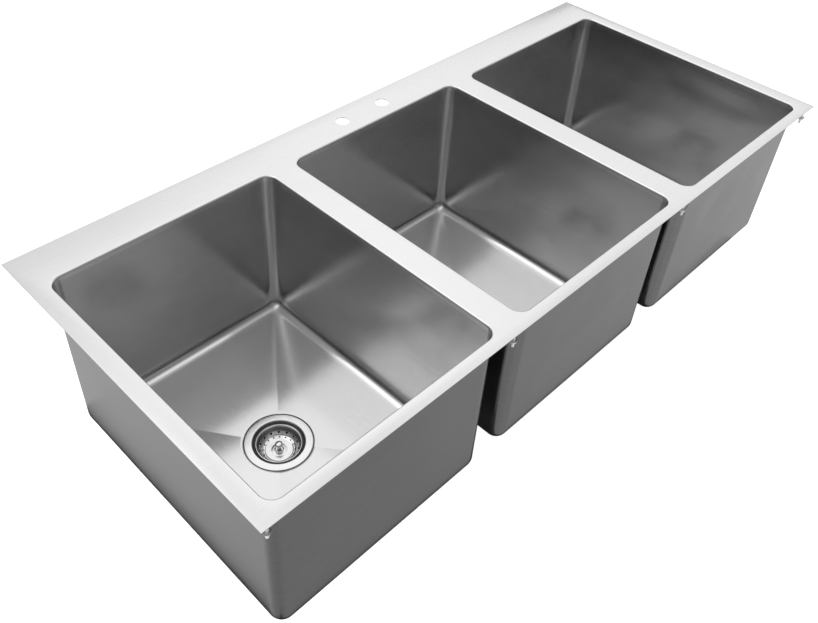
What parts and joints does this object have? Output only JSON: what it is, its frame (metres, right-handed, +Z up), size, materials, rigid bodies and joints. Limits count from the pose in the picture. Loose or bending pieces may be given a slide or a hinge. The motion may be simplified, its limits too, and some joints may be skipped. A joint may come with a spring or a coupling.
{
  "type": "three compartment sink",
  "caption": "Drop-in stainless sink: a flat deck with a faucet ledge, a row of deep square coved bowls, each with a basket strainer drain, and swing clips under the rim.",
  "frame": {"origin": "on the deck's top face, midway between the two faucet holes", "axes": "+X along the deck from the left bowl to the right bowl, +Y from the front rim to the faucet ledge, +Z up out of the bowls"},
  "size_m": [1.3842, 0.6096, 0.3832],
  "materials": {
    "deck_steel": "fine satin brushed along the length",
    "bowl_steel": "satin brushed",
    "drain_steel": "polished",
    "gasket_rubber": "matt black",
    "fibre": "pressed brown fibre",
    "zinc_alloy": "die-cast, dull",
    "basket_steel": "polished pressed sheet",
    "post_steel": "polished, turned",
    "stopper_rubber": "matt black",
    "brass": "machined",
    "fastener_steel": "bright, threaded",
    "clip_steel": "sheared and pressed strip"
  },
  "bodies": {
    "sink": {"deck": "deck_steel", "left_bowl": "bowl_steel", "middle_bowl": "bowl_steel", "right_bowl": "bowl_steel", "left_drain_body": "drain_steel", "middle_drain_body": "drain_steel", "right_drain_body": "drain_steel", "left_drain_gasket": "gasket_rubber", "middle_drain_gasket": "gasket_rubber", "right_drain_gasket": "gasket_rubber", "left_friction_washer": "fibre", "middle_friction_washer": "fibre", "right_friction_washer": "fibre", "left_locknut": "zinc_alloy", "middle_locknut": "zinc_alloy", "right_locknut": "zinc_alloy", "rim_studs": "fastener_steel", "stud_nuts": "fastener_steel"},
    "left_basket": {"left_basket": "basket_steel"},
    "left_stopper_post": {"left_post": "post_steel", "left_stopper": "stopper_rubber", "left_stopper_nut": "brass"},
    "middle_basket": {"middle_basket": "basket_steel"},
    "middle_stopper_post": {"middle_post": "post_steel", "middle_stopper": "stopper_rubber", "middle_stopper_nut": "brass"},
    "right_basket": {"right_basket": "basket_steel"},
    "right_stopper_post": {"right_post": "post_steel", "right_stopper": "stopper_rubber", "right_stopper_nut": "brass"},
    "front_clip_1": {"front_clip_1": "clip_steel"},
    "front_clip_2": {"front_clip_2": "clip_steel"},
    "front_clip_3": {"front_clip_3": "clip_steel"},
    "front_clip_4": {"front_clip_4": "clip_steel"},
    "back_clip_1": {"back_clip_1": "clip_steel"},
    "back_clip_2": {"back_clip_2": "clip_steel"},
    "back_clip_3": {"back_clip_3": "clip_steel"},
    "back_clip_4": {"back_clip_4": "clip_steel"}
  },
  "joints": [
    {"name": "left_basket_lift", "type": "slide", "parent": "sink", "child": "left_basket", "axis": [0, 0, 1], "range_m": [0, 0.4]},
    {"name": "left_stopper_lift", "type": "slide", "parent": "left_basket", "child": "left_stopper_post", "axis": [0, 0, 1], "range_m": [0, 0.008]},
    {"name": "middle_basket_lift", "type": "slide", "parent": "sink", "child": "middle_basket", "axis": [0, 0, 1], "range_m": [0, 0.4]},
    {"name": "middle_stopper_lift", "type": "slide", "parent": "middle_basket", "child": "middle_stopper_post", "axis": [0, 0, 1], "range_m": [0, 0.008]},
    {"name": "right_basket_lift", "type": "slide", "parent": "sink", "child": "right_basket", "axis": [0, 0, 1], "range_m": [0, 0.4]},
    {"name": "right_stopper_lift", "type": "slide", "parent": "right_basket", "child": "right_stopper_post", "axis": [0, 0, 1], "range_m": [0, 0.008]},
    {"name": "front_clip_1_swing", "type": "hinge", "parent": "sink", "child": "front_clip_1", "pos_m": [-0.67707, -0.5588, -0.0238], "axis": [0, 0, 1], "range_deg": [0, 180]},
    {"name": "front_clip_2_swing", "type": "hinge", "parent": "sink", "child": "front_clip_2", "pos_m": [-0.2294, -0.5588, -0.0238], "axis": [0, 0, 1], "range_deg": [0, 180]},
    {"name": "front_clip_3_swing", "type": "hinge", "parent": "sink", "child": "front_clip_3", "pos_m": [0.2294, -0.5588, -0.0238], "axis": [0, 0, -1], "range_deg": [0, 180]},
    {"name": "front_clip_4_swing", "type": "hinge", "parent": "sink", "child": "front_clip_4", "pos_m": [0.67707, -0.5588, -0.0238], "axis": [0, 0, -1], "range_deg": [0, 180]},
    {"name": "back_clip_1_swing", "type": "hinge", "parent": "sink", "child": "back_clip_1", "pos_m": [-0.67707, 0.0283, -0.0238], "axis": [0, 0, -1], "range_deg": [0, 180]},
    {"name": "back_clip_2_swing", "type": "hinge", "parent": "sink", "child": "back_clip_2", "pos_m": [-0.2294, 0.0283, -0.0238], "axis": [0, 0, -1], "range_deg": [0, 180]},
    {"name": "back_clip_3_swing", "type": "hinge", "parent": "sink", "child": "back_clip_3", "pos_m": [0.2294, 0.0283, -0.0238], "axis": [0, 0, 1], "range_deg": [0, 180]},
    {"name": "back_clip_4_swing", "type": "hinge", "parent": "sink", "child": "back_clip_4", "pos_m": [0.67707, 0.0283, -0.0238], "axis": [0, 0, 1], "range_deg": [0, 180]}
  ]
}
